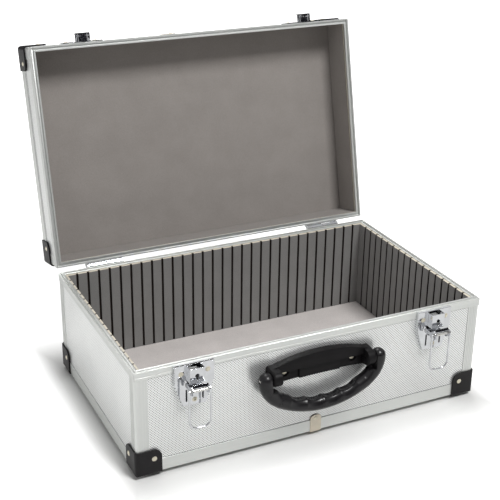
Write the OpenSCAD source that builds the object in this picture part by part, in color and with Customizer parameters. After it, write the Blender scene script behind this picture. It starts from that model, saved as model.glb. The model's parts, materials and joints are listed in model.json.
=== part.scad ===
// Aluminium CD case: a slotted tray and a hinged lid of laminated boards held by
// extruded rails, with two keyed draw latches, a folding grip and two stop hinges.
// The model stands on its feet with the front towards -Y and the lid standing open.

/* [Case] */
// Width over the rails
case_w = 440; // [380:1:520]
// Depth over the rails
case_d = 273; // [240:1:330]
// Height of the tray, from its bottom rail to its rim
base_h = 127; // [125:1:170]
// Height of the lid, from its rim to its top
lid_h = 54; // [46:1:80]
// How far the lid stands open, in degrees
lid_open = 103; // [95:1:110]

/* [Boards and rails] */
// Thickness of the laminated boards
board_t = 3.5; // [3:0.1:4.5]
// Wall of the rails
rail_t = 0.8; // [0.6:0.1:1.2]
// Leg of the angle rails along the outer edges
rail_leg = 15; // [12:0.5:17]
// Outer radius of the upright corner rails
post_r = 3; // [1.5:0.5:4]
// Width of the rim rails
rim_w = 6.5; // [6:0.1:8]
// Height of the rim rails' outer flange
rim_leg = 9.5; // [8:0.5:12]
// Height of the rim rails' inner flange
rim_inner_leg = 5; // [4:0.5:7]
// Width of the tongue along the tray's rim
tongue_w = 2; // [1.5:0.1:2.4]
// Height of the tongue along the tray's rim
tongue_h = 2; // [1:0.1:2.4]
// Number of fine flutes along each leg of a corner rail
flutes = 4; // [2:1:5]
// Width of a flute
flute_w = 0.6; // [0.4:0.1:1]
// Depth of a flute
flute_d = 0.25; // [0.15:0.05:0.35]

/* [Linings] */
// Thickness of the slotted liner
liner_t = 5; // [4:0.5:7]
// Width of one slot
slot_w = 2.8; // [1.5:0.1:4]
// Depth of one slot
slot_depth = 2.6; // [1.5:0.1:3.4]
// Distance from slot to slot
slot_pitch = 14.2; // [10:0.1:20]
// Thickness of the felt on the floor
felt_t = 1.5; // [1:0.1:3]
// Thickness of the lid's lining
lid_lining_t = 2; // [1.5:0.1:3]

/* [Corner caps and feet] */
// Reach of a cap along each edge
cap_leg = 29; // [24:1:34]
// Height of a cap
cap_h = 31; // [26:1:36]
// Wall of a cap
cap_t = 2; // [1.5:0.1:3]
// Rounding of a cap's free corners
cap_r = 9.5; // [6:0.5:12]
// Distance of a cap's rivets from the corner
cap_rivet_in = 20; // [17:0.5:23]
// Diameter of a foot
foot_d = 16; // [12:0.5:18]
// Height of a foot below its cap
foot_h = 4; // [2:0.5:6]
// Distance of a foot's middle from the case's sides
foot_in = 13; // [10:0.5:18]

/* [Fasteners] */
// Diameter of a rivet's head
rivet_d = 6; // [5:0.1:6.5]
// Height of a rivet's head
rivet_h = 1; // [0.6:0.1:1.4]
// Diameter of a rivet's shank
shank_d = 3.2; // [2.4:0.1:4]
// Bore of the eyelet at the foot of a latch plate
eyelet_bore = 1.8; // [1.4:0.1:2]

/* [Hinges] */
// Distance of a hinge's middle from the case's end
hinge_in = 62.6; // [55:0.1:80]
// Width of a hinge
hinge_w = 47; // [40:1:55]
// Height of a hinge leaf
leaf_h = 24; // [20:1:30]
// Thickness of a hinge leaf
leaf_t = 1.2; // [1:0.1:1.6]
// Diameter of a hinge's barrel
barrel_d = 6; // [5:0.1:7]
// Diameter of a hinge's pin
hinge_pin_d = 2.6; // [2:0.1:3.2]
// Distance of a hinge's axis behind the back face
hinge_back = 4.5; // [4:0.1:6]
// Reach of the stop horn behind the hinge's axis
horn_reach = 11; // [9:0.5:11.5]
// Width of the stop horn
horn_w = 5; // [4:0.5:7]

/* [Latches] */
// Distance of a latch's middle from the case's end
latch_in = 67; // [60:0.5:80]
// Width of a latch plate
plate_w = 46; // [44:0.5:50]
// Width of a latch plate at its foot
plate_foot_w = 27; // [25:0.5:34]
// Height of a latch plate
plate_h = 50; // [48:0.5:56]
// Height of a latch plate's straight sides
plate_side_h = 22; // [16:0.5:26]
// Stand of a latch plate's face off the case
plate_stand = 4; // [3.5:0.1:4.2]
// Thickness of the latches' sheet
sheet_t = 1.2; // [1:0.1:1.4]
// Width of the lock box
box_w = 17.4; // [17:0.1:18]
// Height of the lock box
box_h = 17.3; // [16:0.1:18]
// Stand of the lock box off its plate
box_stand = 8; // [7.5:0.1:8.5]
// Wall of the lock box
box_wall = 1; // [0.8:0.1:1.2]
// Width of a lever over its ears
lever_w = 20.4; // [20:0.1:20.8]
// Length of a lever from its pin
lever_len = 15.7; // [15.5:0.1:17]
// Depth of a lever's ears below its pin
ear_depth = 6.4; // [5:0.1:6.6]
// Radius of a lever's ears round the bail
ear_r = 5; // [3.7:0.1:5]
// Tilt of an open lever above level, in degrees
lever_tilt = 25; // [10:1:28]
// Diameter of a lever's pin
lever_pin_d = 2.4; // [2:0.1:2.6]
// Diameter of a bail's wire
wire_d = 2.4; // [2:0.1:2.6]
// Width of a bail between its wire's middle lines
bail_w = 24.8; // [24.4:0.1:25.4]
// Length of a bail from its pivot to its cross wire
bail_len = 46.5; // [45:0.1:48]
// Radius of a bail's bends
bail_r = 9; // [5:0.5:10]
// Width of a strike's flange on the lid
strike_w = 50; // [46:1:56]
// Height of a strike's flange
strike_h = 18; // [17:0.5:22]

/* [Handle] */
// Distance between the outer ends of the grip
grip_w = 161; // [150:1:180]
// Thickness of the grip
grip_d = 18; // [15:0.5:19]
// Drop of the grip's middle line below its pivots
grip_drop = 44; // [40:0.5:47]
// Radius of the bends between the grip's arms and its handhold
grip_bend = 33; // [28:0.5:36]
// Width of an end eye of the grip
eye_w = 14; // [11:0.5:15]
// Width of one finger hollow
finger_w = 21.5; // [18:0.5:23]
// Depth of a finger hollow
finger_depth = 2; // [1:0.1:3]
// Drop of the pivots below the rim
pivot_drop = 36.5; // [34:0.5:40]
// Stand of the pivots off the case
pivot_out = 13; // [12.5:0.5:14]
// Diameter of a pivot pin
pivot_pin_d = 4; // [3:0.1:5]
// Width of a bracket lug
lug_w = 11; // [9:0.5:12]
// Radius of a lug's nose
lug_r = 9; // [8:0.1:9.5]
// Rise of the bracket's arch above its lugs
arch_rise = 11.5; // [8:0.5:13]
// Thickness of the bracket's floor
bracket_t = 3.6; // [3:0.1:4]
// Drop of the bracket's foot below the pivots
bracket_drop = 14; // [13:0.5:15]
// Width of the bracket's raised middle
middle_w = 52; // [44:1:60]
// Stand of the bracket's raised edge off the case
edge_out = 8.5; // [7:0.5:10]
// Width of the bracket's raised edge
edge_w = 4; // [3:0.5:6]

/* [Rail clips] */
// Width of a clip over a rail's joint
clip_w = 14; // [10:0.5:18]
// Height of a clip
clip_h = 21; // [20:0.5:26]
// Distance of the lid's clip to the left of the middle
lid_clip_x = 25; // [20:1:60]

/* [Hidden] */
$fn = 48;

// Clearances
fit_gap = 0.1;        // round a pin, and between the closed rims
hole_gap = 0.05;      // round a rivet's shank
mitre_gap = 0.2;      // between two rails at a corner
tongue_gap = 0.4;     // each side of the rim's tongue in its groove

// Heights
z0 = foot_h + cap_t;                  // underside of the bottom rails
rim_z = z0 + base_h;                  // rim of the tray
lid_z = rim_z + fit_gap;              // rim of the closed lid
lid_top = lid_z + lid_h;              // top of the closed lid
skin = rail_t + board_t;              // from a rail's face to the inside of a board
groove_w = tongue_w + 2 * tongue_gap;
groove_h = tongue_h + tongue_gap;
lid_lip = groove_h + rail_t;          // thickness of the lid's rim round its groove
base_from = z0 + skin;                // the tray's walls
base_to = rim_z - rail_t;
lid_from = lid_z + lid_lip;           // the lid's walls
lid_to = lid_top - skin;
liner_in = skin + liner_t;            // from a rail's face to the inside of a liner
front_y = -case_d / 2;
back_y = case_d / 2;

// Hinge axis
hinge_x = case_w / 2 - hinge_in;
axis_y = back_y + hinge_back;
axis_z = rim_z + fit_gap / 2;
knuckle_z = axis_z - z0;

// Latches, as distances out from the case and heights from the bottom rail
latch_x = case_w / 2 - latch_in;
plate_top = base_h - 0.5;
box_top = plate_top - 2;
box_foot = box_top - box_h;
key_z = box_foot + 8.5;
lever_out = plate_stand + 4;
lever_z = box_foot - 8.2;
lever_lug_x = 7.6;                     // middle of a lug of the lever's bracket
lever_lug_r = 3;
ear_t = sheet_t;
bail_at = 12;                          // from a lever's pin to its bail, along the lever
bail_in = 1.6;                         // from a lever's pin to its bail, across the lever
bail_rest_out = lever_out + bail_at * cos(lever_tilt) + bail_in * sin(lever_tilt);
bail_rest_z = lever_z + bail_at * sin(lever_tilt) - bail_in * cos(lever_tilt);
bail_shut_out = lever_out - bail_in;
bail_shut_z = lever_z - bail_at;
hook_out = bail_shut_out + 2.4;        // cross wire of a fastened bail
hook_z = bail_shut_z + sqrt(bail_len * bail_len - 2.4 * 2.4);
tongue_x = 5;                          // half width of a strike's tongue
tongue_out = plate_stand + box_stand / 2 - 0.2;
tongue_foot = box_top - 7.5;
nose_z = tongue_foot + 2.6;             // foot of the bolt's nose
sleeve_d = 3.8;
latch_rivet_x = plate_w / 2 - 7.5;
latch_rivet_z = plate_top - 10;
latch_low_rivet_z = plate_top - plate_h + 6.3;
strike_rivet_z = base_h + strike_h - 5.5;

// Handle
pivot_z = base_h - pivot_drop;
lug_x = grip_w / 2 - eye_w - 0.5;      // outer face of a lug
arch_foot_z = pivot_z + 7.3;
bracket_foot_z = pivot_z - bracket_drop;
foot_rise = 2.7;                       // of the bracket's foot between its lugs
middle_t = bracket_t + 1.4;            // from the case to the raised middle's face
recess_d = 10;                         // hollow round a rivet of the bracket
recess = 1.6;
bracket_rivet_x = lug_x - lug_w - 11.6;
bracket_rivet_z = pivot_z - 2;
arm_d = grip_d - 0.6;                  // thickness of the grip's arms
eye_x = (grip_w - arm_d) / 2;          // middle line of the grip's arms
eye_room = bracket_drop + 2;           // radius of the room for a lug inside the grip's eye

// The grip's middle line: two small arcs down from the pivots and a large one between them
bend_x = eye_x - grip_bend;
hold_up = (bend_x * bend_x - (grip_drop - grip_bend) * (grip_drop - grip_bend))
    / (2 * (grip_drop - grip_bend));   // from the pivots up to the large arc's middle
hold_r = grip_drop + hold_up;
hold_turn = atan(bend_x / hold_up);    // half the angle of the large arc

SILVER = [0.83, 0.84, 0.83];
CHROME = [0.9, 0.9, 0.92];
NICKEL = [0.82, 0.79, 0.68];
BLACK = [0.14, 0.13, 0.14];
GREY_FOAM = [0.42, 0.41, 0.4];
FELT = [0.76, 0.74, 0.72];
LINING = [0.55, 0.52, 0.5];

// Places the closed lid's pieces where the open lid has them
module open_lid() {
    translate([0, axis_y, axis_z]) rotate([-lid_open, 0, 0]) translate([0, -axis_y, -axis_z])
        children();
}

// From a face's own frame (x along the case, y out of the face, z up) to the case's front
module on_front(x = 0) {
    translate([x, front_y, z0]) mirror([0, 1, 0]) children();
}

module on_back(x = 0) {
    translate([x, back_y, z0]) children();
}

// A round rod along X
module x_rod(d, l) {
    translate([-l / 2, 0, 0]) rotate([0, 90, 0]) cylinder(d = d, h = l);
}

// A round rod along Y, from y = a to y = b
module y_rod(d, a, b) {
    translate([0, b, 0]) rotate([90, 0, 0]) cylinder(d = d, h = b - a);
}

// An outline in the Y-Z plane, carried along X and centred on it
module across(w) {
    translate([-w / 2, 0, 0]) rotate([90, 0, 90]) linear_extrude(w) children();
}

// An outline in the X-Z plane, from y = a to y = b
module outward(a, b) {
    translate([0, b, 0]) rotate([90, 0, 0]) linear_extrude(b - a) children();
}

// A rivet that stands along +Y with its head on y = 0, and the hole that it fills
module rivet(grip, bore = 0) {
    ball_r = (rivet_d * rivet_d / 4 + rivet_h * rivet_h) / (2 * rivet_h);
    color(NICKEL) difference() {
        union() {
            intersection() {
                translate([0, rivet_h - ball_r, 0]) sphere(ball_r);
                y_rod(rivet_d, 0, rivet_h);
            }
            y_rod(shank_d, -grip, 0.01);
        }
        if (bore > 0) y_rod(bore, -grip - 1, rivet_h + 1);
    }
}

module rivet_hole(grip) {
    y_rod(shank_d + 2 * hole_gap, -grip - 0.5, 1);
}

// Rivet places

// The four corners of the case, each as its sides in x and y
CORNERS = [for (sx = [-1, 1]) for (sy = [-1, 1]) [sx, sy]];

// Cap rivets: one on the long face and one on the short face of each corner
module at_cap_rivets() {
    for (c = CORNERS) {
        translate([c[0] * (case_w / 2 - cap_rivet_in), c[1] * (case_d / 2 + cap_t), cap_rivet_in - 2])
            rotate([0, 0, c[1] > 0 ? 0 : 180]) children();
        translate([c[0] * (case_w / 2 + cap_t), c[1] * (case_d / 2 - cap_rivet_in), cap_rivet_in - 2])
            rotate([0, 0, c[0] > 0 ? -90 : 90]) children();
    }
}

module at_base_cap_rivets() {
    translate([0, 0, z0]) at_cap_rivets() children();
}

module at_lid_cap_rivets() {
    translate([0, 0, lid_top]) mirror([0, 0, 1]) at_cap_rivets() children();
}

module at_upper_latch_rivets(side) {
    on_front(side * latch_x) for (x = [-latch_rivet_x, latch_rivet_x])
        translate([x, plate_stand, latch_rivet_z]) children();
}

module at_latch_eyelet(side) {
    on_front(side * latch_x) translate([0, plate_stand, latch_low_rivet_z]) children();
}

module at_latch_rivets(side) {
    at_upper_latch_rivets(side) children();
    at_latch_eyelet(side) children();
}

module at_bracket_rivets() {
    for (side = [-1, 1]) on_front(side * bracket_rivet_x)
        translate([0, bracket_t - rail_t - recess, bracket_rivet_z]) children();
}

module at_strike_rivets(side) {
    on_front(side * latch_x) for (x = [-1, 1])
        translate([x * (strike_w / 2 - 6), sheet_t, strike_rivet_z]) children();
}

module at_hinge_rivets(z) {
    for (side = [-1, 1]) on_back(side * hinge_x)
        for (x = [-1, 1]) translate([x * (hinge_w / 2 - 7), leaf_t, z]) children();
}

module at_base_hinge_rivets() {
    at_hinge_rivets(base_h - 15) children();
}

module at_lid_hinge_rivets() {
    at_hinge_rivets(base_h + fit_gap + 15) children();
}

module at_clip_rivet() {
    on_front() translate([0, rail_t, clip_h - 4]) children();
}

// The lid's clip stands upside down on the lid's top edge
module at_lid_clip() {
    translate([-lid_clip_x, front_y, lid_top]) mirror([0, 0, 1]) mirror([0, 1, 0]) children();
}

// Boards

// A flat outline with four rounded corners, centred
module rounded(w, d, r) {
    square([w - 2 * r, d], center = true);
    square([w, d - 2 * r], center = true);
    for (c = CORNERS) translate([c[0] * (w / 2 - r), c[1] * (d / 2 - r)]) circle(r);
}

// A board along X behind the face at side_y, from z = a to z = b
module long_board(side_y, a, b) {
    intersection() {
        translate([-case_w / 2, side_y > 0 ? side_y - skin : side_y + rail_t, a])
            cube([case_w, board_t, b - a]);
        translate([0, 0, a]) linear_extrude(b - a)
            rounded(case_w - 2 * rail_t, case_d - 2 * rail_t, post_r - rail_t);
    }
}

// A board along Y behind the face at side_x, between the two long boards
module short_board(side_x, a, b) {
    translate([side_x > 0 ? side_x - skin : side_x + rail_t, skin - case_d / 2, a])
        cube([board_t, case_d - 2 * skin, b - a]);
}

module base_front_panel() {
    color(SILVER) difference() {
        long_board(front_y, base_from, base_to);
        at_base_cap_rivets() rivet_hole(cap_t + skin);
        for (side = [-1, 1]) at_latch_rivets(side) rivet_hole(plate_stand + skin);
        at_bracket_rivets() rivet_hole(bracket_t + board_t);
        at_clip_rivet() rivet_hole(rail_t + skin);
    }
}

module base_back_panel() {
    color(SILVER) difference() {
        long_board(back_y, base_from, base_to);
        at_base_cap_rivets() rivet_hole(cap_t + skin);
        at_base_hinge_rivets() rivet_hole(leaf_t + skin);
    }
}

module base_left_panel() {
    color(SILVER) difference() {
        short_board(-case_w / 2, base_from, base_to);
        at_base_cap_rivets() rivet_hole(cap_t + skin);
    }
}

module base_right_panel() {
    color(SILVER) difference() {
        short_board(case_w / 2, base_from, base_to);
        at_base_cap_rivets() rivet_hole(cap_t + skin);
    }
}

module base_bottom_panel() {
    color(SILVER) block(case_w - 2 * rail_t, case_d - 2 * rail_t, z0 + rail_t, board_t);
}

module lid_front_panel() {
    color(SILVER) open_lid() difference() {
        long_board(front_y, lid_from, lid_to);
        at_lid_cap_rivets() rivet_hole(cap_t + skin);
        for (side = [-1, 1]) at_strike_rivets(side) rivet_hole(sheet_t + skin);
        at_lid_clip() translate([0, rail_t, clip_h - 4]) rivet_hole(rail_t + skin);
    }
}

module lid_back_panel() {
    color(SILVER) open_lid() difference() {
        long_board(back_y, lid_from, lid_to);
        at_lid_cap_rivets() rivet_hole(cap_t + skin);
        at_lid_hinge_rivets() rivet_hole(leaf_t + skin);
    }
}

module lid_left_panel() {
    color(SILVER) open_lid() difference() {
        short_board(-case_w / 2, lid_from, lid_to);
        at_lid_cap_rivets() rivet_hole(cap_t + skin);
    }
}

module lid_right_panel() {
    color(SILVER) open_lid() difference() {
        short_board(case_w / 2, lid_from, lid_to);
        at_lid_cap_rivets() rivet_hole(cap_t + skin);
    }
}

module lid_top_panel() {
    color(SILVER) open_lid()
        block(case_w - 2 * rail_t, case_d - 2 * rail_t, lid_top - skin, board_t);
}

// Rails

module block(w, d, z, h) {
    translate([-w / 2, -d / 2, z]) cube([w, d, h]);
}

// A ring of a given width, inset from the case's faces
module ring(inset, w, z, h) {
    difference() {
        block(case_w - 2 * inset, case_d - 2 * inset, z, h);
        block(case_w - 2 * (inset + w), case_d - 2 * (inset + w), z - 1, h + 2);
    }
}

// The space over one side of the case, cut off at 45 degrees at both corners
module mitre(side_w, other_w, z, h) {
    g = mitre_gap / 2;
    reach = rail_leg + 5;
    y = -other_w / 2;
    translate([0, 0, z]) linear_extrude(h) polygon([
        [g - side_w / 2, y - 1], [side_w / 2 - g, y - 1], [side_w / 2 - g, y],
        [side_w / 2 - reach - g, y + reach], [reach + g - side_w / 2, y + reach],
        [g - side_w / 2, y]
    ]);
}

// Parts a ring at its corners into the rails of the four sides
module four_rails(h) {
    for (turn = [0, 90, 180, 270]) intersection() {
        children();
        rotate([0, 0, turn]) mitre(turn % 180 == 0 ? case_w : case_d,
            turn % 180 == 0 ? case_d : case_w, -1, h + 2);
    }
}

// Angle rails round a long edge, the front one in two lengths that meet at x = joint_x
module angle_ring(joint_x) {
    difference() {
        block(case_w, case_d, 0, rail_leg);
        block(case_w - 2 * rail_t, case_d - 2 * rail_t, rail_t, rail_leg);
        block(case_w - 2 * rail_leg, case_d - 2 * rail_leg, -1, rail_leg);
        translate([joint_x - mitre_gap / 2, front_y - 1, -1])
            cube([mitre_gap, rail_leg + 2, rail_leg + 2]);
    }
}

module base_bottom_rails() {
    color(SILVER) translate([0, 0, z0]) four_rails(rail_leg) angle_ring(0);
}

module lid_top_rails() {
    color(SILVER) open_lid() translate([0, 0, lid_top]) mirror([0, 0, 1])
        four_rails(rail_leg) angle_ring(-lid_clip_x);
}

// One upright corner rail with a rounded back, its corner at the origin
module corner_rail(h) {
    linear_extrude(h) difference() {
        union() {
            translate([post_r, 0]) square([rail_leg - post_r, rail_t]);
            translate([0, post_r]) square([rail_t, rail_leg - post_r]);
            intersection() {
                translate([post_r, post_r]) circle(post_r);
                square(post_r);
            }
        }
        translate([post_r, post_r]) circle(post_r - rail_t);
        for (i = [1:flutes]) {
            at = post_r + (rail_leg - post_r) * i / (flutes + 1) - flute_w / 2;
            translate([at, -1]) square([flute_w, 1 + flute_d]);
            translate([-1, at]) square([1 + flute_d, flute_w]);
        }
    }
}

module four_corners() {
    for (c = CORNERS)
        mirror([c[0] > 0 ? 1 : 0, 0, 0]) mirror([0, c[1] > 0 ? 1 : 0, 0])
            translate([-case_w / 2, -case_d / 2, 0]) children();
}

module base_corner_rails() {
    color(SILVER) translate([0, 0, z0 + rail_leg]) four_corners()
        corner_rail(base_h - rail_leg - rim_leg);
}

module lid_corner_rails() {
    color(SILVER) open_lid() translate([0, 0, lid_z + rim_leg]) four_corners()
        corner_rail(lid_h - rail_leg - rim_leg);
}

// The rim rail's section, its rim at z = rim_leg
module rim_ring(web) {
    ring(0, rail_t, 0, rim_leg);
    ring(0, rim_w, rim_leg - web, web);
    ring(skin, rail_t, rim_leg - rim_inner_leg, rim_inner_leg);
}

// One fine flute round the outer flange of a rim
module rim_flute() {
    ring(-1, 1 + flute_d, 0.3 * rim_leg, flute_w);
}

module base_rim_rails() {
    color(SILVER) difference() {
        translate([0, 0, rim_z - rim_leg]) four_rails(rim_leg + tongue_h) {
            rim_ring(rail_t);
            ring((rim_w - tongue_w) / 2, tongue_w, rim_leg - rail_t, rail_t + tongue_h);
        }
        translate([0, 0, rim_z - rim_leg]) rim_flute();
        for (side = [-1, 1]) at_latch_rivets(side) rivet_hole(plate_stand + skin);
    }
}

module lid_rim_rails() {
    color(SILVER) open_lid() translate([0, 0, lid_z + rim_leg]) mirror([0, 0, 1])
        four_rails(rim_leg) difference() {
            rim_ring(lid_lip);
            ring((rim_w - groove_w) / 2, groove_w, rim_leg - groove_h, 2 * groove_h);
            rim_flute();
        }
}

// A clip folded round a rail's edge, its outer face out of y = 0
module rail_clip(w) {
    color(NICKEL) difference() {
        union() {
            outward(0, rail_t) {
                translate([-w / 2, -rail_t]) square([w, clip_h - w / 3 + rail_t]);
                translate([-w / 6, 0]) square([w / 3, clip_h]);
                for (side = [-1, 1]) translate([side * w / 6, clip_h - w / 3]) circle(w / 3);
            }
            translate([-w / 2, -rail_leg, -rail_t]) cube([w, rail_leg + rail_t, rail_t]);
            translate([0, 0, clip_h - 4]) y_rod(rivet_d - 2, -rail_t, 0.1);
        }
        translate([0, rail_t, clip_h - 4]) rivet_hole(2 * rail_t);
    }
}

module base_rail_clip() {
    on_front() rail_clip(clip_w);
}

module base_clip_rivet() {
    at_clip_rivet() rivet(rail_t + skin);
}

module lid_rail_clip() {
    open_lid() at_lid_clip() rail_clip(clip_w);
}

module lid_clip_rivet() {
    open_lid() at_lid_clip() translate([0, rail_t, clip_h - 4]) rivet(rail_t + skin);
}

// Corner caps and feet

// One cap on the corner at the origin, over walls that run along +X and +Y and rise along +Z
module cap_outline(foot_r) {
    w = cap_leg + cap_t;
    h = cap_h;
    translate([-cap_t, -cap_t]) difference() {
        square([w, h]);
        difference() {
            square(foot_r);
            translate([foot_r, foot_r]) circle(foot_r);
        }
        translate([w - cap_r, h - cap_r]) difference() {
            square(cap_r + 1);
            circle(cap_r);
        }
    }
}

module corner_cap() {
    difference() {
        intersection() {
            translate([0, 0, -cap_t]) linear_extrude(cap_h) cap_outline(post_r + cap_t);
            outward(-cap_t, cap_leg + cap_t) cap_outline(3);
            translate([-cap_t, 0, 0]) rotate([90, 0, 90]) linear_extrude(cap_leg + cap_t)
                cap_outline(3);
        }
        cube(cap_leg + 5);
    }
    // dimples that carry the rivets
    translate([cap_rivet_in, 0, cap_rivet_in - 2]) y_rod(rivet_d - 1.6, -0.1, rail_t);
    translate([0, cap_rivet_in, cap_rivet_in - 2]) rotate([0, 0, -90])
        y_rod(rivet_d - 1.6, -0.1, rail_t);
}

module base_corner_caps() {
    color(BLACK) difference() {
        translate([0, 0, z0]) four_corners() corner_cap();
        at_base_cap_rivets() rivet_hole(cap_t + skin);
    }
}

module lid_corner_caps() {
    color(BLACK) open_lid() difference() {
        translate([0, 0, lid_top]) mirror([0, 0, 1]) four_corners() corner_cap();
        at_lid_cap_rivets() rivet_hole(cap_t + skin);
    }
}

module base_cap_rivets() {
    at_base_cap_rivets() rivet(cap_t + skin);
}

module lid_cap_rivets() {
    open_lid() at_lid_cap_rivets() rivet(cap_t + skin);
}

module base_feet() {
    color(BLACK) four_corners() translate([foot_in, foot_in, 0]) {
        cylinder(d1 = foot_d - 2, d2 = foot_d, h = 1);
        translate([0, 0, 1]) cylinder(d = foot_d, h = foot_h - 1);
    }
}

// Linings

// A slotted wall along X, from y = 0 to y = liner_t, with its slots on the far side
module slotted(w) {
    h = base_to - 0.2 - base_from;
    n = floor((w / 2 - liner_t - slot_w) / slot_pitch);
    linear_extrude(h) difference() {
        translate([-w / 2, 0]) square([w, liner_t]);
        for (i = [-n:n]) translate([i * slot_pitch - slot_w / 2, liner_t - slot_depth])
            square([slot_w, slot_depth + 1]);
    }
}

module long_liner() {
    difference() {
        translate([0, skin - case_d / 2, base_from]) slotted(case_w - 2 * skin);
        rim_rebate();
    }
}

module short_liner() {
    difference() {
        translate([skin - case_w / 2, 0, base_from]) rotate([0, 0, -90])
            slotted(case_d - 2 * liner_in);
        rim_rebate();
    }
}

module rim_rebate() {
    ring(skin - 1, rail_t + 1.1, rim_z - rim_inner_leg - 0.2, 20);
}

module liner_front() {
    color(GREY_FOAM) long_liner();
}

module liner_back() {
    color(GREY_FOAM) mirror([0, 1, 0]) long_liner();
}

module liner_left() {
    color(GREY_FOAM) short_liner();
}

module liner_right() {
    color(GREY_FOAM) mirror([1, 0, 0]) short_liner();
}

module floor_felt() {
    color(FELT) block(case_w - 2 * liner_in, case_d - 2 * liner_in, base_from, felt_t);
}

module lid_top_lining() {
    color(LINING) open_lid() block(case_w - 2 * skin, case_d - 2 * skin,
        lid_to - lid_lining_t, lid_lining_t);
}

module lid_wall_linings() {
    h = lid_to - lid_lining_t - lid_z - rim_inner_leg;
    color(LINING) open_lid() translate([0, 0, lid_z + rim_inner_leg]) {
        for (side = [-1, 1]) {
            translate([skin - case_w / 2, side * (case_d / 2 - skin - lid_lining_t / 2)
                - lid_lining_t / 2, 0]) cube([case_w - 2 * skin, lid_lining_t, h]);
            translate([side * (case_w / 2 - skin - lid_lining_t / 2) - lid_lining_t / 2,
                skin + lid_lining_t + hole_gap - case_d / 2, 0])
                cube([lid_lining_t, case_d - 2 * (skin + lid_lining_t + hole_gap), h]);
        }
    }
}

// Hinges

// One leaf with its knuckle from x = a to x = b; y = 0 is the case's face and z its height
module hinge_leaf(a, b) {
    y = hinge_back;
    r = barrel_d / 2;
    translate([-hinge_w / 2, 0, base_h - leaf_h]) cube([hinge_w, leaf_t, leaf_h - 0.6]);
    translate([-hinge_w / 2, -rail_t, base_h - leaf_h])
        cube([hinge_w, rail_t + 0.1, leaf_h - rim_leg - 0.2]);
    translate([(a + b) / 2, 0, knuckle_z]) {
        across(b - a) {
            translate([y, 0]) circle(r);
            polygon([[0, -1], [0, -8], [leaf_t, -8], [y + r * 0.8, -r * 0.6], [y, 0],
                [y - r * 0.8, -1]]);
        }
    }
}

module knuckle_hole(d) {
    translate([0, hinge_back, knuckle_z]) x_rod(d, hinge_w + 2);
}

// Height of the open lid's leaf above the hinge's axis, at a distance behind the axis
function leaf_over(at) = (hinge_back - leaf_t + at * cos(lid_open)) / sin(lid_open) - fit_gap;

// The face of the open lid's leaf comes to rest on a horn of the fixed leaf
module stop_horn() {
    root = leaf_t - hinge_back - 0.5;
    translate([(hinge_w - horn_w) / 2, hinge_back, knuckle_z]) across(horn_w)
        polygon([[root, -10], [horn_reach, leaf_over(horn_reach) - 3],
            [horn_reach, leaf_over(horn_reach)], [4, leaf_over(4)], [0, 0], [root, -2]]);
}

module at_hinges() {
    for (side = [-1, 1]) on_back(side * hinge_x) mirror([side < 0 ? 1 : 0, 0, 0]) children();
}

module base_hinge_leaves() {
    color(CHROME) difference() {
        at_hinges() difference() {
            union() {
                hinge_leaf(0.1, hinge_w / 2);
                stop_horn();
            }
            knuckle_hole(hinge_pin_d + 2 * hole_gap);
        }
        at_base_hinge_rivets() rivet_hole(leaf_t + rail_t);
    }
}

module lid_hinge_leaves() {
    color(CHROME) open_lid() difference() {
        at_hinges() translate([0, 0, 2 * knuckle_z]) mirror([0, 0, 1]) difference() {
            hinge_leaf(-hinge_w / 2, -0.1);
            knuckle_hole(hinge_pin_d + 2 * fit_gap);
        }
        at_lid_hinge_rivets() rivet_hole(leaf_t + rail_t);
    }
}

module hinge_pins() {
    color(CHROME) at_hinges() translate([0, hinge_back, knuckle_z]) x_rod(hinge_pin_d, hinge_w);
}

module base_hinge_rivets() {
    at_base_hinge_rivets() rivet(leaf_t + skin);
}

module lid_hinge_rivets() {
    open_lid() at_lid_hinge_rivets() rivet(leaf_t + skin);
}

// Latches

module plate_outline(inset) {
    w = plate_w / 2 - inset;
    f = plate_foot_w / 2 - inset;
    polygon([[-w, plate_top - inset], [-w, plate_top - plate_side_h], [-f, plate_top - plate_h + inset],
        [f, plate_top - plate_h + inset], [w, plate_top - plate_side_h], [w, plate_top - inset]]);
}

module keyhole_outline() {
    translate([0, key_z]) circle(d = 4.6);
    translate([-1, key_z - 5.6]) square([2, 5.6]);
}

// A tab that holds a piece on the pan, and with a gap the slot that it goes through
module tab(t, gap = 0) {
    translate([-t / 2 - gap, plate_stand - sheet_t - 0.8 - gap, -2 - gap])
        cube([t + 2 * gap, sheet_t + 0.9 + 2 * gap, 4 + 2 * gap]);
}

module at_box_tabs() {
    for (side = [-1, 1]) translate([side * (box_w - box_wall) / 2, 0, box_foot + box_h / 2])
        children();
}

module at_bracket_tabs() {
    for (side = [-1, 1]) translate([side * lever_lug_x, 0, lever_z]) children();
}

// A pan that stands off the case
module latch_plate() {
    low = base_h - rim_leg - 0.2;
    difference() {
        union() {
            outward(plate_stand - sheet_t, plate_stand) plate_outline(0);
            outward(0, plate_stand) difference() {
                plate_outline(0);
                plate_outline(sheet_t);
            }
            intersection() {
                outward(-rail_t, 0.1) difference() {
                    plate_outline(0);
                    plate_outline(sheet_t);
                }
                translate([-plate_w, -5, 0]) cube([2 * plate_w, 10, low]);
            }
            // sleeves that carry the rivets
            for (side = [-1, 1]) translate([side * latch_rivet_x, 0, latch_rivet_z])
                y_rod(rivet_d, 0, plate_stand - 0.1);
            translate([0, 0, latch_low_rivet_z]) y_rod(rivet_d, -rail_t, plate_stand - 0.1);
        }
        // slits that let the lever's ears in
        for (side = [-1, 1]) translate([side * (lever_w - ear_t) / 2 - 1, 0, lever_z - lever_len - 1.5])
            cube([2, 5, lever_len - 1.1]);
        at_box_tabs() tab(box_wall, fit_gap);
        at_bracket_tabs() tab(sheet_t, fit_gap);
    }
}

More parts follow.
